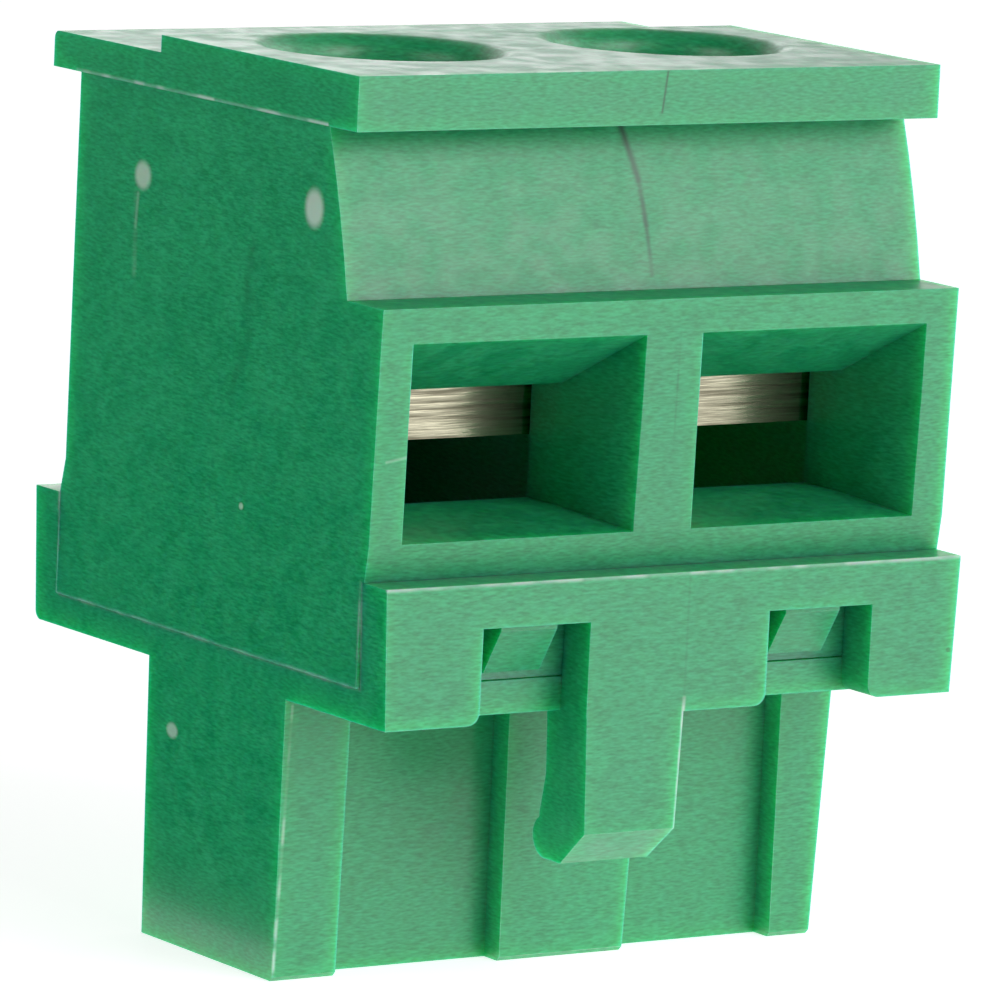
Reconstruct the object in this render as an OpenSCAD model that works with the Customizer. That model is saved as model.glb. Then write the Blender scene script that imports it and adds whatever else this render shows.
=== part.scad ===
/* [Row] */
// Distance between the two poles, centre to centre
pitch = 5.08; // [5.0:0.02:5.3]
// Width of the clamp housing across both poles
body_w = 10.26; // [10.2:0.02:11.2]

/* [Overall heights] */
// Height of the plug nose below the collar
nose_h = 4.3; // [3.8:0.1:5.5]
// Height of the collar that holds the clamp housing
collar_h = 2.08; // [1.9:0.02:2.4]
// Height of the band between the collar and the wire windows
band_h = 0.54; // [0.45:0.01:0.8]
// Height of a wire window at its mouth
window_h = 2.95; // [2.9:0.01:3.2]
// Height of the lintel above the wire windows
lintel_h = 0.51; // [0.4:0.01:0.8]
// Height of the sloping brow above the lintel
brow_h = 2.46; // [2.4:0.01:2.9]
// Width of the top plate
plate_w = 10.36; // [10.26:0.02:11.2]
// Thickness of the top plate
plate_t = 0.81; // [0.7:0.01:0.9]

/* [Depths from the front face of the collar] */
// Depth of the collar from front to back
depth = 9.95; // [9.8:0.01:10.8]
// Setback of the window frame at its top edge
frame_setback = 0.43; // [0.35:0.01:0.5]
// Setback of the window frame at the window sills
sill_setback = 0.53; // [0.45:0.01:0.56]
// Setback of the band where it meets the collar
band_setback = 0.61; // [0.57:0.01:0.65]
// Setback of the foot of the sloping brow
brow_foot = 1.41; // [1.2:0.01:1.5]
// Setback of the head of the sloping brow
brow_head = 2.08; // [1.8:0.01:2.1]
// Height of the bulge of the brow over its chord
brow_bulge = 0.05; // [0.02:0.01:0.1]
// Setback of the front edge of the top plate
plate_setback = 1.27; // [1.0:0.01:1.35]
// Setback of the back edge of the top plate from the back of the collar
plate_back = 0.1; // [0.05:0.01:0.3]
// Setback of the back wall from the back of the collar
back_setback = 0.84; // [0.8:0.01:0.95]
// Depth of the lowered strip along the back of the plate
strip_d = 3.1; // [2.9:0.01:3.15]
// Drop of the lowered strip
strip_drop = 0.26; // [0.1:0.01:0.4]
// Radius of the rounded back edge of the lowered strip
strip_round = 0.12; // [0.05:0.01:0.2]

/* [Wire windows] */
// Width of a wire window at its mouth
window_w = 4.08; // [3.9:0.01:4.2]
// Width of the throat behind the window
throat_w = 3.2; // [2.9:0.01:3.3]
// Height of the throat behind the window
throat_h = 1.83; // [1.8:0.01:1.95]
// Rise of the floor of the window from mouth to throat
throat_rise = 0.2; // [0.1:0.01:0.3]
// Depth of the tapered part of the window
taper_d = 1.42; // [1.2:0.01:1.6]

/* [Screw wells] */
// Setback of the screw axis from the front of the collar
screw_setback = 4.77; // [4.75:0.01:4.85]
// Diameter of the screw well
well_d = 3.26; // [3.2:0.01:3.4]
// Radius of the rounded rim of the well
well_rim = 0.35; // [0.2:0.01:0.4]

/* [Collar and nose] */
// Radius of the rounded lower back edge of the collar
collar_round = 0.14; // [0.05:0.01:0.2]
// Thickness of the front and back walls of the collar
collar_t = 0.69; // [0.67:0.01:0.75]
// Thickness of the floor of the collar
floor_t = 0.5; // [0.4:0.05:0.55]
// Width lost on each side from the top of the collar to the tip of the nose
side_draft = 0.24; // [0:0.02:0.3]
// Inset of the right side of the nose where it leaves the collar
nose_inset = 0.19; // [0:0.01:0.3]
// Inset of the right side of the nose at its tip
tip_inset = 0.04; // [0:0.01:0.1]
// Setback of the nose ribs where they leave the collar
nose_setback = 2.7; // [2.55:0.01:2.8]
// Depth of the nose from its ribs to its back
nose_d = 3.87; // [3.8:0.01:4.0]
// Flare of the back of the nose from collar to tip
nose_flare = 0.15; // [0:0.01:0.2]
// Thickness of the walls in front of and behind the contacts
nose_wall = 0.5; // [0.45:0.01:0.56]
// Thickness of the tip of the nose around the pin openings
nose_tip_t = 0.8; // [0.7:0.05:0.9]
// Lean of the front of the nose from collar to tip
nose_lean = 0.27; // [0.1:0.01:0.3]
// Height of the nose ribs over the panels
rib_d = 0.42; // [0.3:0.01:0.45]
// Width of the left nose rib at the tip
left_rib_w = 0.99; // [0.8:0.01:1.1]
// Width of the right nose rib at the tip
right_rib_w = 0.74; // [0.6:0.01:0.9]
// Slant of the inner edges of the ribs from collar to tip
rib_slant = 0.22; // [0.1:0.01:0.25]
// Width of the middle nose rib
mid_rib_w = 2.34; // [2.0:0.01:2.4]
// Shift of the middle nose rib to the right
mid_rib_shift = 0.19; // [0:0.01:0.3]
// Lead-in bevel at the tip of the ribs
rib_bevel = 0.07; // [0.04:0.01:0.2]

/* [Latch tongue] */
// Width of the latch tongue at its root
tongue_w = 1.72; // [1.5:0.01:1.74]
// Width that the latch tongue loses on each side by its tip
tongue_taper = 0.08; // [0:0.01:0.15]
// Shift of the latch tongue to the left
tongue_shift = 0.68; // [0.5:0.01:0.7]
// Thickness of the latch tongue
tongue_t = 1.04; // [0.9:0.01:1.1]
// Length of the latch tongue below the collar
tongue_l = 2.3; // [2.0:0.05:2.6]
// Height of the hook on the back of the tongue
hook_h = 0.32; // [0.2:0.01:0.4]
// Depth of the slope at the tip of the tongue
tongue_tip_d = 0.63; // [0.5:0.01:0.8]
// Height of the slope at the tip of the tongue
tongue_tip = 0.55; // [0.4:0.01:0.6]

/* [Snap windows] */
// Width of a snap window in the collar
snap_w = 1.88; // [1.8:0.01:2.0]
// Height of a snap window above the underside of the collar
snap_h = 1.42; // [1.35:0.01:1.5]
// Shift of the snap windows and teeth to the right of their poles
snap_shift = 0.05; // [0:0.01:0.1]
// Radius of the lower corners of a snap window
snap_corner = 0.2; // [0.1:0.01:0.25]
// Width of a snap tooth
tooth_w = 0.98; // [0.8:0.01:1.2]
// Height of a snap tooth
tooth_h = 0.76; // [0.6:0.01:0.78]
// Reach of a snap tooth
tooth_d = 0.5; // [0.3:0.01:0.55]
// Thickness of the blunt edges of a snap tooth
tooth_edge = 0.08; // [0.04:0.01:0.12]

/* [Clamp] */
// Thickness of the lower jaw of a lift cage
jaw_t = 0.9; // [0.8:0.01:0.95]
// Thickness of the threaded top wall of a lift cage
nut_t = 1; // [0.9:0.01:1.05]
// Thickness of the side walls of a lift cage
cage_wall = 0.4; // [0.35:0.01:0.42]
// Width of a lift cage
cage_w = 3.9; // [3.8:0.01:4.0]
// Depth of a lift cage from front to back
cage_d = 3.84; // [3.6:0.01:3.86]
// Lift of the cage from open to closed
cage_lift = 1.8; // [1.7:0.01:1.84]
// Nominal diameter of the clamp screw
screw_d = 2.5; // [2.4:0.05:2.6]
// Diameter of the screw head
head_d = 3; // [2.8:0.01:3.1]
// Height of the screw head
head_h = 0.8; // [0.7:0.01:0.85]
// Bevel of the screw head
head_bevel = 0.15; // [0.05:0.01:0.2]
// Bevel of the tip of the screw
tip_bevel = 0.3; // [0.1:0.01:0.4]
// Width of the screwdriver slot
slot_w = 0.6; // [0.4:0.01:0.8]
// Depth of the screwdriver slot
slot_d = 0.4; // [0.3:0.01:0.5]
// Radial clearance between screw and threaded wall
thread_gap = 0.04; // [0.03:0.01:0.06]

/* [Contact] */
// Thickness of the contact sheet
sheet_t = 0.4; // [0.35:0.01:0.42]
// Width of the current bar inside the cage
bar_w = 2.8; // [2.5:0.01:2.9]
// Width of the spring legs in the nose
leg_w = 2.3; // [2.0:0.01:2.4]
// Gap of the spring legs where they grip the pin
grip_gap = 0.8; // [0.7:0.01:0.9]
// Height of the grip above the tip of the nose
grip_h = 2; // [1.9:0.05:2.2]
// Length of the straight upper part of a spring leg
leg_straight = 1.15; // [0.8:0.05:1.3]
// Side of the square pin that the contact takes
pin_side = 1; // [0.9:0.01:1.05]
// Side of the pin opening at the tip of the nose
pin_mouth = 2; // [1.9:0.05:2.2]

/* [Clearances] */
// Gap of the seam between clamp housing and collar
seam_gap = 0.02; // [0.01:0.01:0.05]
// Gap between flat faces that nearly touch inside the clamp
slip_gap = 0.02; // [0.01:0.005:0.03]
// Gap between a cage and the walls of its chamber
chamber_gap = 0.1; // [0.08:0.01:0.12]
// Gap between the spring legs and the side walls of their chamber
leg_gap = 0.2; // [0.1:0.01:0.25]
// Gap between the pin and the narrowest part of its opening
pin_gap = 0.15; // [0.1:0.01:0.2]

/* [Hidden] */
$fn = 48;
bore_fn = 64;
arc_fn = 96;
over = 1;
poles = [-pitch / 2, pitch / 2];

// Heights, from the tip of the nose up
z_collar = nose_h;
z_floor = nose_h + floor_t;
z_rim = nose_h + collar_h;
z_sill = z_rim + band_h;
z_lintel = z_sill + window_h;
z_ledge = z_lintel + lintel_h;
z_plate = z_ledge + brow_h;
z_top = z_plate + plate_t;

// Height of the throat, which sets the closed jaw and the current bar
z_throat = z_sill + throat_rise;
z_throat_top = z_throat + throat_h;
z_bar = z_throat_top + slip_gap;
z_bar_top = z_bar + sheet_t;

// The cage at rest is closed, with its jaw against the current bar
cage_inner_h = cage_lift + sheet_t + 2 * slip_gap;
z_jaw = z_throat_top - jaw_t;
z_nut = z_throat_top + cage_inner_h;
z_cage_top = z_nut + nut_t;
z_head = z_cage_top + slip_gap;
z_chamber_top = z_cage_top + slip_gap / 2;

// Depths, with the front of the collar at the front
function from_front(setback) = setback - depth / 2;
function from_back(setback) = depth / 2 - setback;
y_screw = from_front(screw_setback);
y_tenon_front = from_front(collar_t + seam_gap);
y_tenon_back = from_back(collar_t + seam_gap);
y_back = from_back(back_setback);
y_chamber_front = y_screw - cage_d / 2 - chamber_gap;
y_chamber_back = y_screw + cage_d / 2 + chamber_gap;
y_leg_slot = y_chamber_back + sheet_t + 2 * chamber_gap;

// Nose and its contact chambers
y_nose_front = from_front(nose_setback);
y_nose_back = y_nose_front + nose_d;
nose_tip_right = body_w / 2 - side_draft - tip_inset;
cavity_w = leg_w + 2 * leg_gap;
y_cavity_back = y_nose_back - nose_wall;
y_cavity_front = y_nose_front + nose_lean + rib_d + nose_wall;
y_pin = (y_cavity_front + y_cavity_back) / 2;

// Side outline of the collar and the nose, extruded along the row
module along_row(w) {
    translate([-w / 2, 0, 0])
        rotate([90, 0, 90])
            linear_extrude(w) children();
}

// Front outline, extruded from front to back
module front_to_back(y0, y1) {
    translate([0, y1, 0])
        rotate([90, 0, 0])
            linear_extrude(y1 - y0) children();
}

// ---- Clamp housing: the upper moulding with the wire windows ----

module housing_side() {
    polygon([
        [y_tenon_front, z_floor + seam_gap],
        [y_tenon_front, z_rim],
        [from_front(band_setback), z_rim],
        [from_front(sill_setback), z_sill],
        [from_front(frame_setback), z_ledge],
        [from_front(brow_foot), z_ledge],
        [from_front(brow_head), z_plate],
        [y_back, z_plate],
        [y_back, z_sill],
        [y_tenon_back, z_rim],
        [y_tenon_back, z_floor + seam_gap]
    ]);
}

// The brow is a shallow arc over the chord from its foot to its head
module brow_arc() {
    run = brow_head - brow_foot;
    chord = sqrt(run * run + brow_h * brow_h);
    arc_r = chord * chord / (8 * brow_bulge) + brow_bulge / 2;
    middle = [from_front((brow_foot + brow_head) / 2), (z_ledge + z_plate) / 2];
    inward = [brow_h, -run] / chord;
    intersection() {
        translate(middle + inward * (arc_r - brow_bulge)) circle(r = arc_r, $fn = arc_fn);
        polygon([
            [from_front(frame_setback), z_ledge],
            [from_front(brow_foot + brow_head), z_ledge],
            [from_front(brow_foot + brow_head), z_plate],
            [from_front(frame_setback), z_plate]
        ]);
    }
}

module plate_side() {
    front = from_front(plate_setback);
    back = from_back(plate_back);
    difference() {
        polygon([
            [front, z_plate],
            [front, z_top],
            [back - strip_d, z_top],
            [back - strip_d, z_top - strip_drop],
            [back, z_top - strip_drop],
            [back, z_plate]
        ]);
        translate([back - strip_round, z_top - strip_drop - strip_round])
            difference() {
                square(2 * strip_round);
                circle(r = strip_round);
            }
    }
}

// The window tapers on all four sides, then runs straight into the chamber
module window_cut() {
    mouth_y = from_front(frame_setback) - over;
    taper_y = from_front(sill_setback) + taper_d;
    face_y = from_front((frame_setback + sill_setback) / 2);
    intersection() {
        along_row(pitch)
            polygon([
                [mouth_y, z_sill],
                [face_y, z_sill],
                [taper_y, z_throat],
                [y_screw, z_throat],
                [y_screw, z_throat_top],
                [taper_y, z_throat_top],
                [from_front(frame_setback), z_lintel],
                [mouth_y, z_lintel]
            ]);
        translate([0, 0, z_sill - over])
            linear_extrude(window_h + 2 * over)
                polygon([
                    [-window_w / 2, mouth_y],
                    [-window_w / 2, face_y],
                    [-throat_w / 2, taper_y],
                    [-throat_w / 2, y_screw],
                    [throat_w / 2, y_screw],
                    [throat_w / 2, taper_y],
                    [window_w / 2, face_y],
                    [window_w / 2, mouth_y]
                ]);
    }
}

// Screw well with a rounded rim, open down into the cage chamber
module well_cut() {
    rim_r = well_d / 2 + well_rim;
    translate([0, y_screw, z_chamber_top - over / 2])
        cylinder(d = well_d, h = z_top - z_chamber_top + over, $fn = bore_fn);
    translate([0, y_screw, z_top - well_rim])
        rotate_extrude($fn = bore_fn)
            difference() {
                translate([well_d / 2 - well_rim, 0]) square([2 * well_rim, 2 * well_rim]);
                translate([rim_r, 0]) circle(r = well_rim);
            }
}

// Chamber of one cage, open at the bottom, with a slot for the leg of the contact
module chamber_cut() {
    chamber_w = cage_w + 2 * chamber_gap;
    bar_slot_w = bar_w + 2 * chamber_gap;
    translate([-chamber_w / 2, y_chamber_front, z_floor - over])
        cube([chamber_w, y_chamber_back - y_chamber_front, z_chamber_top - z_floor + over]);
    translate([-bar_slot_w / 2, y_screw, z_floor - over])
        cube([bar_slot_w, y_leg_slot - y_screw, z_bar_top + chamber_gap - z_floor + over]);
}

// Wedge that snaps under the top edge of a window in the collar
module snap_tooth() {
    tip = y_tenon_front - tooth_d;
    tooth_top = z_collar + snap_h - seam_gap;
    translate([-tooth_w / 2, 0, 0])
        rotate([90, 0, 90])
            linear_extrude(tooth_w)
                polygon([
                    [y_tenon_front + slip_gap, tooth_top - tooth_h],
                    [y_tenon_front - tooth_edge, tooth_top - tooth_h],
                    [tip, tooth_top - tooth_edge],
                    [tip, tooth_top],
                    [y_tenon_front + slip_gap, tooth_top]
                ]);
}

module clamp_housing() {
    color("mediumseagreen")
        difference() {
            union() {
                along_row(body_w) housing_side();
                along_row(body_w) brow_arc();
                along_row(plate_w) plate_side();
                for (x = poles)
                    translate([x + snap_shift, 0, 0]) {
                        snap_tooth();
                        mirror([0, 1, 0]) snap_tooth();
                    }
            }
            for (x = poles)
                translate([x, 0, 0]) {
                    window_cut();
                    well_cut();
                    chamber_cut();
                }
        }
}

// ---- Plug shroud: the lower moulding with collar, latch and nose ----

// Sides that draw in towards the tip, with the nose inset on the right
module shroud_front() {
    top_w = body_w / 2;
    tip_w = top_w - side_draft;
    collar_low_w = top_w - side_draft * collar_h / z_rim;
    polygon([
        [-top_w, z_rim],
        [-tip_w, 0],
        [nose_tip_right, 0],
        [collar_low_w - nose_inset, z_collar],
        [collar_low_w, z_collar],
        [top_w, z_rim]
    ]);
}

module collar_side() {
    difference() {
        translate([-depth / 2, z_collar]) square([depth, collar_h]);
        translate([from_front(collar_t), z_floor])
            square([depth - 2 * collar_t, collar_h]);
        translate([depth / 2 - collar_round, z_collar + collar_round])
            difference() {
                translate([0, -2 * collar_round]) square(2 * collar_round);
                circle(r = collar_round);
            }
    }
}

// Side outline of the nose behind a front face set back from the ribs
module nose_side(inset, bevel) {
    front_low = y_nose_front + nose_lean + inset;
    polygon([
        [y_nose_front + inset, z_collar + floor_t / 2],
        [y_nose_front + inset, z_collar],
        [front_low, bevel],
        [front_low + bevel, 0],
        [y_nose_back + nose_flare, 0],
        [y_nose_back, z_collar],
        [y_nose_back, z_collar + floor_t / 2]
    ]);
}

// Front outline of one rib, between two edges at its root and at its tip
module rib_front(left_root, left_tip, right_root, right_tip) {
    polygon([
        [left_root, z_collar + floor_t / 2],
        [left_tip, 0],
        [right_tip, 0],
        [right_root, z_collar + floor_t / 2]
    ]);
}

module nose_ribs() {
    side = body_w / 2 + over;
    left_in = left_rib_w + side_draft - body_w / 2;
    mid_l = mid_rib_shift - mid_rib_w / 2;
    mid_r = mid_rib_shift + mid_rib_w / 2;
    right_in = nose_tip_right - right_rib_w;
    intersection() {
        along_row(body_w) nose_side(0, rib_bevel);
        front_to_back(y_nose_front - over, y_pin)
            union() {
                rib_front(-side, -side, left_in, left_in + rib_slant / 2);
                rib_front(mid_l - rib_slant / 2, mid_l + rib_slant / 2, mid_r, mid_r);
                rib_front(right_in - rib_slant, right_in, side, side);
            }
    }
}

// Latch tongue with a hook on its back and a sloped tip
module tongue() {
    z_tip = z_collar - tongue_l;
    z_root = z_collar + floor_t / 2;
    front = -depth / 2;
    back = front + tongue_t;
    hook_z = z_tip + hook_h;
    root = tongue_w / 2;
    tip = tongue_w / 2 - tongue_taper;
    translate([-tongue_shift, 0, 0])
        intersection() {
            along_row(tongue_w)
                union() {
                    polygon([
                        [front, z_root],
                        [front, z_tip + tongue_tip],
                        [front + tongue_tip_d, z_tip],
                        [back, z_tip],
                        [back + hook_h / 2, hook_z + hook_h],
                        [back, hook_z + 3 * hook_h],
                        [back, z_root]
                    ]);
                    translate([back, hook_z]) circle(r = hook_h);
                }
            front_to_back(front - over, back + over)
                polygon([
                    [-root, z_root],
                    [-root, z_collar],
                    [-tip, z_tip],
                    [tip, z_tip],
                    [root, z_collar],
                    [root, z_root]
                ]);
        }
}

// Rounding of one lower corner of a snap window, on its left or right side
module snap_corner_cut(side) {
    r = snap_corner;
    translate([side * (snap_w / 2 + r), z_collar + r])
        difference() {
            translate([side > 0 ? -r : 0, -r]) square(r);
            circle(r = r);
        }
}

// Snap window, open at the underside of the collar
module snap_cut(rounded) {
    front_to_back(-depth / 2 - over, from_front(collar_t))
        union() {
            translate([-snap_w / 2, z_collar - over]) square([snap_w, snap_h + over]);
            for (side = rounded) snap_corner_cut(side);
        }
}

// Chamber of one contact, from the collar floor down to a tapered pin opening
module contact_cut() {
    translate([-cavity_w / 2, y_cavity_front, nose_tip_t])
        cube([cavity_w, y_cavity_back - y_cavity_front, z_floor - nose_tip_t + over]);
    hole = pin_side + 2 * pin_gap;
    taper = (pin_mouth - hole) / 2;
    translate([-hole / 2, y_pin - hole / 2, -over])
        cube([hole, hole, nose_tip_t + 2 * over]);
    intersection() {
        along_row(pitch)
            polygon([
                [y_pin - pin_mouth / 2 - taper, -taper],
                [y_pin + pin_mouth / 2 + taper, -taper],
                [y_pin + hole / 2, taper],
                [y_pin - hole / 2, taper]
            ]);
        front_to_back(y_pin - pitch / 2, y_pin + pitch / 2)
            polygon([
                [-pin_mouth / 2 - taper, -taper],
                [pin_mouth / 2 + taper, -taper],
                [hole / 2, taper],
                [-hole / 2, taper]
            ]);
    }
}

module plug_shroud() {
    color("seagreen")
        difference() {
            union() {
                intersection() {
                    union() {
                        along_row(body_w) collar_side();
                        along_row(body_w) nose_side(rib_d, 0);
                        nose_ribs();
                    }
                    front_to_back(-depth / 2 - over, depth / 2 + over) shroud_front();
                }
                tongue();
            }
            for (x = poles)
                translate([x + snap_shift, 0, 0]) {
                    snap_cut(x < 0 ? [-1] : [-1, 1]);
                    mirror([0, 1, 0]) snap_cut([-1, 1]);
                }
            for (x = poles) translate([x, 0, 0]) contact_cut();
        }
}

// ---- Clamp: screw and lift cage of one pole ----

module clamp_screw() {
    color("silver")
        translate([0, y_screw, 0])
            difference() {
                rotate_extrude($fn = bore_fn)
                    polygon([
                        [0, z_bar_top + slip_gap],
                        [screw_d / 2 - tip_bevel, z_bar_top + slip_gap],
                        [screw_d / 2, z_bar_top + slip_gap + tip_bevel],
                        [screw_d / 2, z_head],
                        [head_d / 2, z_head],
                        [head_d / 2, z_head + head_h - head_bevel],
                        [head_d / 2 - head_bevel, z_head + head_h],
                        [0, z_head + head_h]
                    ]);
                translate([0, 0, z_head + head_h - slot_d / 2 + over / 2])
                    cube([head_d + over, slot_w, slot_d + over], center = true);
            }
}

module lift_cage() {
    inner_w = cage_w - 2 * cage_wall;
    color("gainsboro")
        translate([0, y_screw, 0])
            difference() {
                translate([-cage_w / 2, -cage_d / 2, z_jaw])
                    cube([cage_w, cage_d, z_cage_top - z_jaw]);
                translate([-inner_w / 2, -cage_d / 2 - over, z_throat_top])
                    cube([inner_w, cage_d + 2 * over, cage_inner_h]);
                translate([0, 0, z_nut - over / 2])
                    cylinder(d = screw_d + 2 * thread_gap, h = nut_t + over, $fn = bore_fn);
            }
}

// ---- Socket contact: one folded sheet, current bar on top, spring legs below ----

// Straight stretch of sheet between two bends, with its round ends
module stretch(a, b) {
    run = b - a;
    translate(a)
        rotate(atan2(run[1], run[0]))
            translate([0, -sheet_t / 2]) square([norm(run), sheet_t]);
    translate(a) circle(d = sheet_t);
    translate(b) circle(d = sheet_t);
}

module folded(points) {
    for (i = [1:len(points) - 1]) stretch(points[i - 1], points[i]);
}

module socket_contact() {
    bar_z = z_bar + sheet_t / 2;
    bar_front = y_chamber_front + 2 * chamber_gap + sheet_t / 2;
    leg_y = y_chamber_back + chamber_gap + sheet_t / 2;
    web_z = z_floor + sheet_t / 2 + slip_gap;
    leg_root = y_cavity_back - y_pin - chamber_gap - sheet_t / 2;
    grip = (grip_gap + sheet_t) / 2;
    bend_z = web_z - leg_straight;
    flare_z = nose_tip_t + sheet_t + chamber_gap;
    color("lightgray")
        union() {
            along_row(bar_w)
                folded([[bar_front, bar_z], [leg_y, bar_z], [leg_y, web_z]]);
            along_row(leg_w)
                folded([[leg_y, web_z], [y_pin + leg_root, web_z], [y_pin - leg_root, web_z]]);
            along_row(leg_w)
                for (side = [-1, 1])
                    folded([[y_pin + side * leg_root, web_z],
                            [y_pin + side * leg_root, bend_z],
                            [y_pin + side * grip, grip_h],
                            [y_pin + side * leg_root, flare_z]]);
        }
}

clamp_housing();
plug_shroud();
translate([poles[0], 0, 0]) clamp_screw();  // clamp_screw_left
translate([poles[1], 0, 0]) clamp_screw();  // clamp_screw_right
translate([poles[0], 0, 0]) lift_cage();  // lift_cage_left
translate([poles[1], 0, 0]) lift_cage();  // lift_cage_right
translate([poles[0], 0, 0]) socket_contact();  // socket_contact_left
translate([poles[1], 0, 0]) socket_contact();  // socket_contact_right
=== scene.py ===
import math
import bmesh
import bpy
from mathutils import Matrix, Vector


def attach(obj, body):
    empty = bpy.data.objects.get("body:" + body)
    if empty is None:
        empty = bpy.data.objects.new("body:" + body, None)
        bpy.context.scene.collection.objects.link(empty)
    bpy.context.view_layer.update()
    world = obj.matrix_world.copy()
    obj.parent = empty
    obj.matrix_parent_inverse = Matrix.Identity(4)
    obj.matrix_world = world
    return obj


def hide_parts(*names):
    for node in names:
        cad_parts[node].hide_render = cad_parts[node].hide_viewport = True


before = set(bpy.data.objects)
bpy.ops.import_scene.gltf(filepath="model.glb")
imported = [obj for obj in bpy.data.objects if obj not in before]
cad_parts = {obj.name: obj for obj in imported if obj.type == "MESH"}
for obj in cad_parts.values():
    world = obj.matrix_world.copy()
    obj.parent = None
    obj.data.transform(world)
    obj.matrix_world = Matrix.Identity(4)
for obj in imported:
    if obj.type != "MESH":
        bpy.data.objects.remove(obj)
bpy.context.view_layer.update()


# ---------------------------------------------------------------------------
# Clamp housing. The upper moulding, of green polyamide without glass fibre,
# injection moulded in one shot. It snaps down into the collar of the plug
# shroud, and its moulded edges are slightly rounded.
# ---------------------------------------------------------------------------
edge_radius = 0.00004  # metres, as all sizes and places of the meshes
window_edge_radius = 0.0001
rounding_segments = 3

# Turns from one face to the next, in degrees. The CAD's triangles are merged
# under merged_turn. Round a corner, faces under flat_turn are one plane, those
# from facet_turn to sharp_turn are one curve, and past that an edge is rounded.
merged_turn, flat_turn, facet_turn, sharp_turn = 0.4, 0.1, 2, 28
merged_distance = 2e-7
smallest_drop = 1e-7  # of a place on a rounding to its neighbours, on an outer edge


def weighted_copy(node, name, blunt_radius, is_blunt):
    """A merged copy of a CAD node's mesh, with a bevel weight on sharp edges."""
    shape = bmesh.new()
    shape.from_mesh(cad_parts[node].data)
    bmesh.ops.remove_doubles(shape, verts=shape.verts, dist=merged_distance)
    bmesh.ops.dissolve_limit(
        shape, angle_limit=math.radians(merged_turn), verts=shape.verts, edges=shape.edges)
    weight = shape.edges.layers.float.new("bevel_weight_edge")
    for edge in shape.edges:
        if len(edge.link_faces) == 2 and edge.calc_face_angle(0) > math.radians(sharp_turn):
            blunt = is_blunt(edge.verts[0].co, edge.verts[1].co)
            edge[weight] = 1 if blunt else edge_radius / blunt_radius
    mesh = bpy.data.meshes.new(name)
    shape.to_mesh(mesh)
    shape.free()
    mesh.shade_smooth()
    return mesh


def round_edges(moulding, blunt_radius):
    """Round the weighted edges, and put the roundings in a slot of their own."""
    for surface in ("flats", "roundings"):
        moulding.data.materials.append(None)
    rounding = moulding.modifiers.new("rounded_edges", "BEVEL")
    rounding.width = blunt_radius
    rounding.segments = rounding_segments
    rounding.limit_method = "WEIGHT"
    rounding.material = 1
    finished = bpy.data.meshes.new_from_object(
        moulding.evaluated_get(bpy.context.evaluated_depsgraph_get()))
    moulding.modifiers.clear()
    moulding.data = finished


def blended_normal(normal, around):
    """A face normal blended with those of the facets that curve on from it."""
    blend = Vector()
    for other in around:
        turn = math.degrees(normal.angle(other, 0))
        if turn < flat_turn or facet_turn < turn < sharp_turn:
            blend += other
    return blend.normalized()


def shade_roundings(mesh):
    """Keep the flats flat, and let each rounding turn from one to the next.

    Where the mesh drops away all round the middle of a rounding, it lies on an outer edge and
    is marked for the material, which paints it pale: a painted highlight, partly wear."""
    drop = [0.0] * len(mesh.vertices)
    for edge in mesh.edges:
        start, end = (mesh.vertices[corner] for corner in edge.vertices)
        drop[start.index] += (start.co - end.co).dot(start.normal)
        drop[end.index] += (end.co - start.co).dot(end.normal)
    flats = [[] for _ in mesh.vertices]
    for face in mesh.polygons:
        if face.material_index == 0:
            for corner in face.vertices:
                flats[corner].append(face.normal.copy())
    normals = []
    for face in mesh.polygons:
        for corner in face.vertices:
            around = flats[corner]
            if not around:
                normals.append(mesh.vertices[corner].normal.copy())
            elif face.material_index == 0:
                normals.append(blended_normal(face.normal, around))
            else:
                nearest = max(around, key=face.normal.dot)
                normals.append(blended_normal(nearest, around))
    highlit_and_worn = [
        float(height > smallest_drop and not around) for height, around in zip(drop, flats)]
    mesh.attributes.new("edge_highlight_and_wear", "FLOAT", "POINT").data.foreach_set("value", highlit_and_worn)
    mesh.polygons.foreach_set("material_index", [0] * len(mesh.polygons))
    mesh.normals_split_custom_set(normals)


def soften_moulding(node, name, blunt_radius, is_blunt):
    """The moulding that replaces a CAD node, with its sharp edges rounded.

    Edges that is_blunt picks by their two ends get the larger blunt_radius."""
    moulding = bpy.data.objects.new(name, weighted_copy(node, name, blunt_radius, is_blunt))
    bpy.context.scene.collection.objects.link(moulding)
    round_edges(moulding, blunt_radius)
    shade_roundings(moulding.data)
    moulding.data.materials.clear()
    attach(moulding, "plug")
    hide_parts(node)
    return moulding


def add_node(tree, kind, sources=None, **settings):
    """A shader node with its settings and its inputs.

    Each input in sources is given by its value, or by the socket that feeds it."""
    node = tree.nodes.new("ShaderNode" + kind)
    for setting, value in settings.items():
        setattr(node, setting, value)
    for name, source in (sources or {}).items():
        if isinstance(source, bpy.types.NodeSocket):
            tree.links.new(source, node.inputs[name])
        else:
            node.inputs[name].default_value = source
    return node


def place_in_millimetres(tree):
    """Places on the piece, along its own axes."""
    place = add_node(tree, "TexCoord")
    scaled = add_node(tree, "Mapping", {
        "Vector": place.outputs["Object"], "Scale": (1000, 1000, 1000)})
    return scaled.outputs["Vector"]


def new_effect(name, inputs, outputs):
    """A node group that gives numbers, with its inputs and outputs inside it."""
    group = bpy.data.node_groups.new(name, "ShaderNodeTree")
    for socket, kind in inputs.items():
        group.interface.new_socket(socket, in_out="INPUT", socket_type="NodeSocket" + kind)
    for socket in outputs:
        group.interface.new_socket(socket, in_out="OUTPUT", socket_type="NodeSocketFloat")
    given = group.nodes.new("NodeGroupInput").outputs
    results = group.nodes.new("NodeGroupOutput").inputs
    return group, given, results


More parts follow.
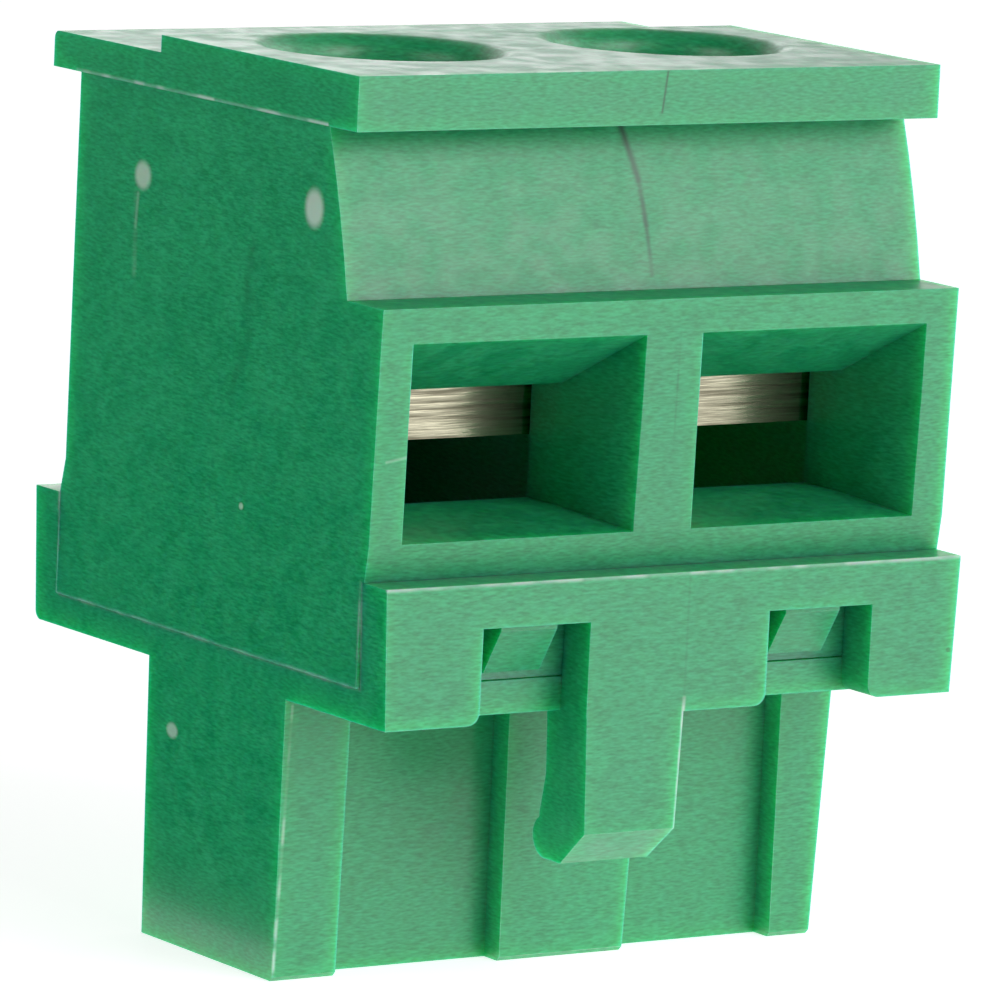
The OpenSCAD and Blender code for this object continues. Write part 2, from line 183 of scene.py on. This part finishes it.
def build_moulded_skin():
    """Fine level grain, its soft clouds and clear patches, in millimetres."""
    group, given, results = new_effect(
        "moulded_skin", {"Place": "Vector", "Grain Scale": "Float"},
        ("Grain", "Cloud", "Patches"))
    drawn_out_level = (0.28, 0.28, 1.25)
    level = add_node(
        group, "VectorMath", {0: given["Place"], 1: drawn_out_level}, operation="MULTIPLY")
    grain = add_node(group, "TexNoise", {
        "Vector": level.outputs["Vector"], "Scale": given["Grain Scale"],
        "Detail": 1, "Roughness": 0.6})
    cloud = add_node(group, "TexNoise", {
        "Vector": given["Place"], "Scale": 2.6, "Detail": 0})
    patches = add_node(group, "MapRange", {
        "Value": cloud.outputs["Fac"], "From Min": 0.42, "From Max": 0.6})
    group.links.new(grain.outputs["Fac"], results["Grain"])
    group.links.new(cloud.outputs["Fac"], results["Cloud"])
    group.links.new(patches.outputs["Result"], results["Patches"])
    return group


def build_moulding_mark():
    """A soft-edged oval mark in the skin: 1 in its middle, 0 outside."""
    group, given, results = new_effect(
        "moulding_mark",
        {"Place": "Vector", "Centre": "Vector", "Reach": "Vector", "Softness": "Float"},
        ("Mask",))
    away = add_node(
        group, "VectorMath", {0: given["Place"], 1: given["Centre"]}, operation="SUBTRACT")
    share = add_node(
        group, "VectorMath", {0: away.outputs["Vector"], 1: given["Reach"]}, operation="DIVIDE")
    far = add_node(group, "VectorMath", {0: share.outputs["Vector"]}, operation="LENGTH")
    inner = add_node(group, "Math", {0: 1, 1: given["Softness"]}, operation="SUBTRACT")
    fade = add_node(group, "MapRange", {
        "Value": far.outputs["Value"], "From Min": inner.outputs["Value"], "From Max": 1,
        "To Min": 1, "To Max": 0}, interpolation_type="SMOOTHSTEP")
    group.links.new(fade.outputs["Result"], results["Mask"])
    return group


def build_mark_and_highlight_line():
    """A thin line between two points of the skin, broken up along its way. Real marks and
    painted highlights are drawn with it.
    """
    group, given, results = new_effect(
        "mark_and_highlight_line",
        {"Place": "Vector", "Start": "Vector", "End": "Vector",
         "Width": "Float", "Breaks": "Float", "Patches": "Float"},
        ("Mask",))
    # How far a place lies from its foot on the line, which stays between the ends.
    way = add_node(
        group, "VectorMath", {0: given["End"], 1: given["Start"]},
        operation="SUBTRACT").outputs["Vector"]
    out = add_node(
        group, "VectorMath", {0: given["Place"], 1: given["Start"]},
        operation="SUBTRACT").outputs["Vector"]
    along = add_node(group, "VectorMath", {0: out, 1: way}, operation="DOT_PRODUCT")
    whole = add_node(group, "VectorMath", {0: way, 1: way}, operation="DOT_PRODUCT")
    share = add_node(
        group, "Math", {0: along.outputs["Value"], 1: whole.outputs["Value"]},
        operation="DIVIDE", use_clamp=True)
    foot = add_node(
        group, "VectorMath", {0: way, "Scale": share.outputs["Value"]}, operation="SCALE")
    away = add_node(
        group, "VectorMath", {0: out, 1: foot.outputs["Vector"]}, operation="DISTANCE")
    # The line fades over its width, and its breaks let the patches through.
    fade = add_node(group, "MapRange", {
        "Value": away.outputs["Value"], "From Max": given["Width"],
        "To Min": 1, "To Max": 0}, interpolation_type="SMOOTHSTEP")
    holding = add_node(group, "Mix", {
        "Factor": given["Breaks"], "A": 1, "B": given["Patches"]})
    mask = add_node(
        group, "Math", {0: fade.outputs["Result"], 1: holding.outputs["Result"]},
        operation="MULTIPLY")
    group.links.new(mask.outputs["Value"], results["Mask"])
    return group


moulded_skin = build_moulded_skin()
moulding_mark = build_moulding_mark()
mark_and_highlight_line = build_mark_and_highlight_line()


def stronger_mark(tree, strongest, mark, amount):
    """The larger of the marks so far and an amount of one more mark."""
    dose = add_node(tree, "Math", {0: mark.outputs["Mask"], 1: amount}, operation="MULTIPLY")
    if strongest is None:
        return dose.outputs["Value"]
    both = add_node(tree, "Math", {0: strongest, 1: dose.outputs["Value"]}, operation="MAXIMUM")
    return both.outputs["Value"]


# Colours of the moulded skin, and how its grain, clouds, pale edges and gloss vary. The pale
# edges are a painted highlight, partly wear.
deep_green = (0.0, 0.29, 0.106)
light_green = (0.018, 0.47, 0.196)
pale = (0.55, 0.72, 0.62)
dark = (0.0, 0.1, 0.042)
grain_scale = 24
cloud_share = 0.12
noise_low, noise_high = 0.3, 0.7
least_edge_paleness, most_edge_paleness = 0.3, 0.8
skin_roughness, roughness_spread = 0.42, 0.05


def green_polyamide(name, spots, lines):
    """Moulded green polyamide with its moulding spots, weld lines and flash, and pale outer
    edges that are a painted highlight, partly wear.
    """
    material = bpy.data.materials.new(name)
    material.use_nodes = True
    material.diffuse_color = (*light_green, 1)
    tree = material.node_tree
    shader = tree.nodes["Principled BSDF"]
    shader.inputs["IOR"].default_value = 1.5
    shader.inputs["Specular IOR Level"].default_value = 0.75
    shader.inputs["Subsurface Weight"].default_value = 1
    shader.inputs["Subsurface Radius"].default_value = (0.15, 1.2, 0.45)
    shader.inputs["Subsurface Scale"].default_value = 0.0008
    place = place_in_millimetres(tree)
    skin = add_node(
        tree, "Group", {"Place": place, "Grain Scale": grain_scale}, node_tree=moulded_skin)

    # The grain and its clouds run from the deep green to the light green.
    tone = add_node(tree, "Mix", {
        "Factor": cloud_share, "A": skin.outputs["Grain"], "B": skin.outputs["Cloud"]})
    shade = add_node(tree, "MapRange", {
        "Value": tone.outputs["Result"], "From Min": noise_low, "From Max": noise_high})
    tint = add_node(tree, "Mix", data_type="RGBA", sources={
        "Factor": shade.outputs["Result"], "A": (*deep_green, 1), "B": (*light_green, 1)})
    colour = tint.outputs["Result"]

    # Outer edges are painted pale in patches: a painted highlight, partly wear. The pale and
    # dark marks follow.
    rounding = add_node(tree, "Attribute", attribute_name="edge_highlight_and_wear")
    edge_paleness = add_node(tree, "MapRange", {
        "Value": skin.outputs["Patches"], "To Min": least_edge_paleness, "To Max": most_edge_paleness})
    highlit_and_worn = add_node(
        tree, "Math", {0: rounding.outputs["Fac"], 1: edge_paleness.outputs["Result"]},
        operation="MULTIPLY")
    for shown, mark_colour in (("pale", pale), ("dark", dark)):
        strongest = highlit_and_worn.outputs["Value"] if shown == "pale" else None
        for kind, centre, reach, softness, amount in spots:
            if kind == shown:
                spot = add_node(tree, "Group", node_tree=moulding_mark, sources={
                    "Place": place, "Centre": centre, "Reach": reach, "Softness": softness})
                strongest = stronger_mark(tree, strongest, spot, amount)
        for kind, start, end, width, breaks, amount in lines:
            if kind == shown:
                line = add_node(tree, "Group", node_tree=mark_and_highlight_line, sources={
                    "Place": place, "Start": start, "End": end, "Width": width,
                    "Breaks": breaks, "Patches": skin.outputs["Patches"]})
                strongest = stronger_mark(tree, strongest, line, amount)
        blend = add_node(tree, "Mix", data_type="RGBA", sources={
            "Factor": strongest, "A": colour, "B": (*mark_colour, 1)})
        colour = blend.outputs["Result"]
    tree.links.new(colour, shader.inputs["Base Color"])

    gloss = add_node(tree, "MapRange", {
        "Value": skin.outputs["Cloud"], "From Min": noise_low, "From Max": noise_high,
        "To Min": skin_roughness - roughness_spread,
        "To Max": skin_roughness + roughness_spread})
    tree.links.new(gloss.outputs["Result"], shader.inputs["Roughness"])
    return material


# Marks of the moulding, and painted highlights along some edges, in millimetres. A spot has a
# colour, a centre, a reach along x, y and z, a softness and an amount. A line has a colour, two
# ends, a width, the share of it that is broken up, and an amount.
left_side = -5.13
housing_spots = [
    # Ejector pins pressed the left side, and a speck of dirt lies in it.
    ("pale", (left_side, 2.22, 11.49), (0.5, 0.29, 0.27), 0.5, 0.8),
    ("pale", (left_side, -2.58, 11.60), (0.5, 0.31, 0.36), 0.5, 0.95),
    ("pale", (left_side, -0.94, 6.97), (0.3, 0.08, 0.07), 0.6, 0.7),
    ("dark", (left_side, -3.51, 11.08), (0.3, 0.05, 0.05), 0.5, 0.8),
]
housing_lines = [
    # Streaks run down from the first ejector mark.
    ("pale", (left_side, 2.34, 11.2), (left_side, 2.38, 10.7), 0.07, 0.3, 0.4),
    ("pale", (left_side, 2.40, 11.2), (left_side, 2.36, 10.0), 0.1, 0.4, 0.12),
    # A faint flow line wanders down the left side.
    ("dark", (left_side, -0.97, 10.8), (left_side, -0.82, 10.24), 0.17, 0.4, 0.3),
    ("dark", (left_side, -0.82, 10.24), (left_side, -0.98, 9.6), 0.17, 0.4, 0.3),
    ("dark", (left_side, -0.98, 9.6), (left_side, -0.51, 8.56), 0.2, 0.4, 0.3),
    # The plate's front edge has a fine crack.
    ("dark", (0.205, -3.705, 13.62), (0.135, -3.705, 13.03), 0.035, 0.3, 0.85),
    # The weld line runs down the curved brow between the two wells, and goes
    # on faintly down the mullion between the windows.
    ("dark", (-0.06, -2.94, 12.74), (0.135, -3.18, 11.95), 0.1, 0.1, 1),
    ("dark", (0.135, -3.18, 11.95), (0.19, -3.36, 11.3), 0.08, 0.3, 0.9),
    ("dark", (0.19, -3.36, 11.3), (0.23, -3.51, 10.6), 0.065, 0.4, 0.7),
    ("dark", (0.1, -4.505, 10.3), (0.1, -4.505, 6.9), 0.035, 0.5, 0.35),
    # A fibre is stuck to the frame of the left window.
    ("pale", (-4.92, -4.505, 8.15), (-4.5, -4.505, 8.22), 0.045, 0, 0.7),
    # A pale line along the plate's lower edge is a painted highlight, partly flash. Flash shows
    # round the housing where it meets the collar.
    ("pale", (-5.18, 4.17, 12.86), (-5.18, -2.91, 12.86), 0.05, 0.7, 0.8),
    ("pale", (left_side, -4.265, 6.38), (-5.1, -4.265, 4.82), 0.06, 0.7, 0.35),
    ("pale", (-5.1, -4.265, 4.83), (-5.1, 4.265, 4.83), 0.05, 0.6, 0.6),
    ("pale", (left_side, 4.265, 6.38), (-5.1, 4.265, 4.82), 0.06, 0.7, 0.35),
]

# The space round the mouths of the wire windows, in metres.
mouth_front = -0.0043
mouth_bottom, mouth_top = 0.0068, 0.0100
mouth_inner, mouth_outer = 0.0003, 0.0048


def is_window_edge(start, end):
    """Edges round the mouths of the wire windows."""
    return all(
        p.y < mouth_front and mouth_bottom < p.z < mouth_top
        and mouth_inner < abs(p.x) < mouth_outer
        for p in (start, end))


housing = soften_moulding(
    "clamp_housing", "housing_moulding", window_edge_radius, is_window_edge)
housing.data.materials.append(
    green_polyamide("housing_polyamide", housing_spots, housing_lines))


# ---------------------------------------------------------------------------
# Plug shroud. The lower moulding, of the same polyamide: the collar that the
# housing snaps into, the latch tongue and the ribbed nose that plugs into a
# board header.
# ---------------------------------------------------------------------------
shroud_spots = [
    # An ejector pin pressed the nose, and specks of dirt lie in the front.
    ("pale", (-4.97, 0.91, 3.27), (0.5, 0.2, 0.15), 0.5, 0.7),
    ("dark", (3.12, -2.07, 0.70), (0.05, 0.3, 0.05), 0.5, 0.7),
    ("dark", (4.99, -4.97, 4.95), (0.05, 0.3, 0.05), 0.5, 0.7),
]
shroud_lines = [
    # Flash shows round the opening of the collar that the housing fills.
    ("pale", (left_side, -4.285, 6.38), (-5.1, -4.285, 4.80), 0.06, 0.7, 0.35),
    ("pale", (-5.1, -4.265, 4.79), (-5.1, 4.265, 4.79), 0.05, 0.6, 0.6),
    ("pale", (left_side, 4.285, 6.38), (-5.1, 4.285, 4.80), 0.06, 0.7, 0.35),
    # Pale lines along the collar's top edge, the edge of the latch tongue and the edge of the
    # nose's left rib are painted highlights, partly chipping and rubbing.
    ("pale", (-5.1, -4.975, 6.38), (5.1, -4.975, 6.38), 0.07, 0.6, 0.9),
    ("pale", (0.18, -4.975, 4.5), (0.12, -4.975, 2.5), 0.05, 0.5, 0.9),
    ("pale", (-4.92, -2.24, 4.2), (-4.89, -2.0, 0.1), 0.05, 0.8, 0.8),
    # A faint dark line runs down the collar into the tongue.
    ("dark", (0.18, -4.975, 6.3), (0.18, -4.975, 4.4), 0.04, 0.2, 0.2),
]

# Where the ribs' edges lie, and how long an upright one is, in metres.
rib_edge_radius = 0.00015
rib_front, rib_back = -0.00235, -0.0019
nose_corner = -0.0045
nose_end = 0.0002
upright = 0.003


def is_rib_edge(start, end):
    """Upright edges of the ribs on the front of the nose, and their lower ends."""
    front = all(rib_front < p.y < rib_back for p in (start, end))
    inner = all(p.x > nose_corner for p in (start, end))
    low = all(p.z < nose_end for p in (start, end))
    tall = abs(start.z - end.z) > upright
    return front and inner and (tall or low)


shroud = soften_moulding("plug_shroud", "shroud_moulding", rib_edge_radius, is_rib_edge)
shroud.data.materials.append(
    green_polyamide("shroud_polyamide", shroud_spots, shroud_lines))


# ---------------------------------------------------------------------------
# Metal of the clamps. The screws are zinc-plated steel, the lift cages are
# nickel-plated and cut from drawn bar, and the contacts are folded from
# tin-plated copper alloy strip.
# ---------------------------------------------------------------------------
def build_drawn_lines():
    """Fine lines left by drawing or rolling, in millimetres."""
    group, given, results = new_effect(
        "drawn_lines", {"Place": "Vector", "Stretch": "Vector"}, ("Lines",))
    stretch = add_node(
        group, "VectorMath", {0: given["Place"], 1: given["Stretch"]}, operation="MULTIPLY")
    lines = add_node(group, "TexNoise", {
        "Vector": stretch.outputs["Vector"], "Scale": 1, "Detail": 3, "Roughness": 0.6})
    group.links.new(lines.outputs["Fac"], results["Lines"])
    return group


drawn_lines = build_drawn_lines()

# The range of the lines that shows, what they add to the roughness and take
# from it, and how deep they are, in metres.
line_low, line_high = 0.35, 0.65
duller, brighter = 0.04, 0.06
line_depth = 0.00002


def plated_metal(name, light, shadow, stretch, roughness):
    """Plated metal whose drawn lines vary its tone, its gloss and its relief."""
    material = bpy.data.materials.new(name)
    material.use_nodes = True
    material.diffuse_color = (*light, 1)
    tree = material.node_tree
    shader = tree.nodes["Principled BSDF"]
    shader.inputs["Metallic"].default_value = 1
    lines = add_node(
        tree, "Group", {"Place": place_in_millimetres(tree), "Stretch": stretch},
        node_tree=drawn_lines).outputs["Lines"]
    spread = add_node(tree, "MapRange", {
        "Value": lines, "From Min": line_low, "From Max": line_high}).outputs["Result"]
    tone = add_node(tree, "Mix", data_type="RGBA", sources={
        "Factor": spread, "A": (*shadow, 1), "B": (*light, 1)})
    tree.links.new(tone.outputs["Result"], shader.inputs["Base Color"])
    gloss = add_node(tree, "MapRange", {
        "Value": spread, "To Min": roughness + duller, "To Max": roughness - brighter})
    tree.links.new(gloss.outputs["Result"], shader.inputs["Roughness"])
    relief = add_node(tree, "Bump", {
        "Height": lines, "Strength": 0.35, "Distance": line_depth})
    tree.links.new(relief.outputs["Normal"], shader.inputs["Normal"])
    return material


nickel = plated_metal(
    "cage_nickel", light=(0.43, 0.41, 0.3), shadow=(0.14, 0.13, 0.09),
    stretch=(0.7, 20, 20), roughness=0.2)
zinc = plated_metal(
    "screw_zinc", light=(0.78, 0.79, 0.8), shadow=(0.55, 0.56, 0.57),
    stretch=(5, 5, 5), roughness=0.36)
tin = plated_metal(
    "contact_tin", light=(0.68, 0.68, 0.66), shadow=(0.45, 0.45, 0.43),
    stretch=(3, 3, 1), roughness=0.36)
finishes = {"lift_cage": nickel, "clamp_screw": zinc, "socket_contact": tin}
for side in ("left", "right"):
    for piece, finish in finishes.items():
        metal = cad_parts[f"{piece}_{side}"].data.materials
        metal.clear()
        metal.append(finish)


# ---------------------------------------------------------------------------
# Studio. A pale floor under a white surround, both plain white where they are
# seen straight on or in a reflection, with soft lights and the camera.
# ---------------------------------------------------------------------------
def studio_strength(tree, lighting, to_the_eye, in_reflections, shading=None):
    """A glow that differs for lighting, for the eye and for reflections."""
    path = add_node(tree, "LightPath")
    mirrored = add_node(tree, "Math", operation="MAXIMUM", sources={
        0: path.outputs["Is Glossy Ray"], 1: path.outputs["Is Transmission Ray"]})
    unseen = add_node(tree, "MapRange", {
        "Value": mirrored.outputs["Value"], "To Min": lighting,
        "To Max": in_reflections}).outputs["Result"]
    if shading is not None:
        unseen = add_node(
            tree, "Math", {0: unseen, 1: shading}, operation="MULTIPLY").outputs["Value"]
    strength = add_node(tree, "MapRange", {
        "Value": path.outputs["Is Camera Ray"], "To Min": unseen, "To Max": to_the_eye})
    return strength.outputs["Result"]


bpy.ops.mesh.primitive_plane_add(size=0.5, location=(0, 0, 0))
floor = bpy.context.object
floor.name = "studio_floor"
pale_floor = bpy.data.materials.new("pale_floor")
pale_floor.use_nodes = True
pale_floor.cycles.emission_sampling = "NONE"
matt = pale_floor.node_tree.nodes["Principled BSDF"]
matt.inputs["Base Color"].default_value = (0.85, 0.85, 0.85, 1)
matt.inputs["Roughness"].default_value = 0.9
matt.inputs["Specular IOR Level"].default_value = 0.1
matt.inputs["Emission Color"].default_value = (1, 1, 1, 1)
pale_floor.node_tree.links.new(
    studio_strength(
        pale_floor.node_tree, lighting=0.4, to_the_eye=0.75, in_reflections=1.1),
    matt.inputs["Emission Strength"])
floor.data.materials.append(pale_floor)

# The surround is dimmer overhead and on the left, where a room is dimmer too.
surround = bpy.data.worlds.new("studio_surround")
bpy.context.scene.world = surround
surround.use_nodes = True
surround.cycles.sampling_method = "NONE"
room = surround.node_tree
direction = add_node(room, "TexCoord")
axes = add_node(room, "SeparateXYZ", {"Vector": direction.outputs["Generated"]})
dim_ceiling = add_node(room, "MapRange", {
    "Value": axes.outputs["Z"], "From Min": 0.4, "From Max": 0.75,
    "To Min": 1, "To Max": 0.2})
dim_left = add_node(room, "MapRange", {
    "Value": axes.outputs["X"], "From Min": -0.45, "From Max": 0.1,
    "To Min": 0.12, "To Max": 1})
dimmed = add_node(
    room, "Math", {0: dim_ceiling.outputs["Result"], 1: dim_left.outputs["Result"]},
    operation="MULTIPLY")
sky = room.nodes["Background"]
sky.inputs["Color"].default_value = (1, 1, 1, 1)
room.links.new(
    studio_strength(
        room, lighting=0.4, to_the_eye=1, in_reflections=1, shading=dimmed.outputs["Value"]),
    sky.inputs["Strength"])


def towards(azimuth, elevation):
    """The direction from the part to an azimuth and an elevation, in degrees."""
    turn, rise = math.radians(azimuth), math.radians(elevation)
    return Vector((
        math.sin(turn) * math.cos(rise), -math.cos(turn) * math.cos(rise), math.sin(rise)))


part_middle = Vector((0, 0, 0.007))
for name, azimuth, elevation, distance, size, strength in (
        ("front_light", 15, 30, 0.35, 0.25, 2.6),
        ("right_light", 45, 14, 0.5, 0.22, 1.5),
        ("low_light", 25, 3, 0.5, 0.3, 2.5),
        ("left_light", -93, 14, 0.35, 0.25, 2.4),
        ("back_light", 150, 14, 0.6, 0.15, 3),
        ("side_light", 95, 15, 0.35, 0.2, 1.9)):
    lamp = bpy.data.lights.new(name, "AREA")
    lamp.shape = "DISK"
    lamp.size = size
    disk_area = math.pi * size * size / 4
    lamp.energy = strength * math.pi * disk_area
    stand = bpy.data.objects.new(name, lamp)
    bpy.context.scene.collection.objects.link(stand)
    stand.location = part_middle + towards(azimuth, elevation) * distance
    stand.rotation_mode = "QUATERNION"
    stand.rotation_quaternion = (-towards(azimuth, elevation)).to_track_quat("-Z", "Y")

# A folded black flag lies and stands on the left, behind the part. It is seen
# only in reflections, where it keeps the left side from washing out.
flag_edge, flag_fold = -0.0056, -0.08
flag_near, flag_far = -0.09, 0.14
flag_low, flag_top = 0.0002, 0.04
flag_mesh = bpy.data.meshes.new("black_flag")
flag_mesh.from_pydata(
    [(x, y, z)
     for x, z in ((flag_edge, flag_low), (flag_fold, flag_low), (flag_fold, flag_top))
     for y in (flag_near, flag_far)],
    [], [(0, 1, 3, 2), (2, 3, 5, 4)])
flag = bpy.data.objects.new("black_flag", flag_mesh)
bpy.context.scene.collection.objects.link(flag)
flag.visible_camera = False
flag.visible_diffuse = False
flag.visible_shadow = False
flag_black = bpy.data.materials.new("flag_black")
flag_black.use_nodes = True
cloth = flag_black.node_tree.nodes["Principled BSDF"]
cloth.inputs["Base Color"].default_value = (0, 0, 0, 1)
cloth.inputs["Specular IOR Level"].default_value = 0
flag_mesh.materials.append(flag_black)

# The camera looks past its aim by the two offsets, and leans by its roll.
aim = Vector((0, -0.000975, 0.0075))
offset_left, offset_down = 0.0005024, 0.0006574
camera_azimuth, camera_elevation, camera_distance = -33.926, 8.817, 0.125735
roll = math.radians(2.794)
back = towards(camera_azimuth, camera_elevation)
flat = towards(camera_azimuth + 90, 0)
high = back.cross(flat)
right = math.cos(roll) * flat + math.sin(roll) * high
up = -math.sin(roll) * flat + math.cos(roll) * high
eye = bpy.data.cameras.new("studio_camera")
eye.sensor_width = 36
eye.lens = 300.6234
eye.clip_start = 0.01
eye.clip_end = 20
camera = bpy.data.objects.new("studio_camera", eye)
bpy.context.scene.collection.objects.link(camera)
camera.location = aim - right * offset_left - up * offset_down + back * camera_distance
camera.rotation_mode = "QUATERNION"
camera.rotation_quaternion = Matrix((right, up, back)).transposed().to_quaternion()
bpy.context.scene.camera = camera
bpy.context.scene.cycles.max_bounces = 4
bpy.context.scene.view_settings.view_transform = "Standard"
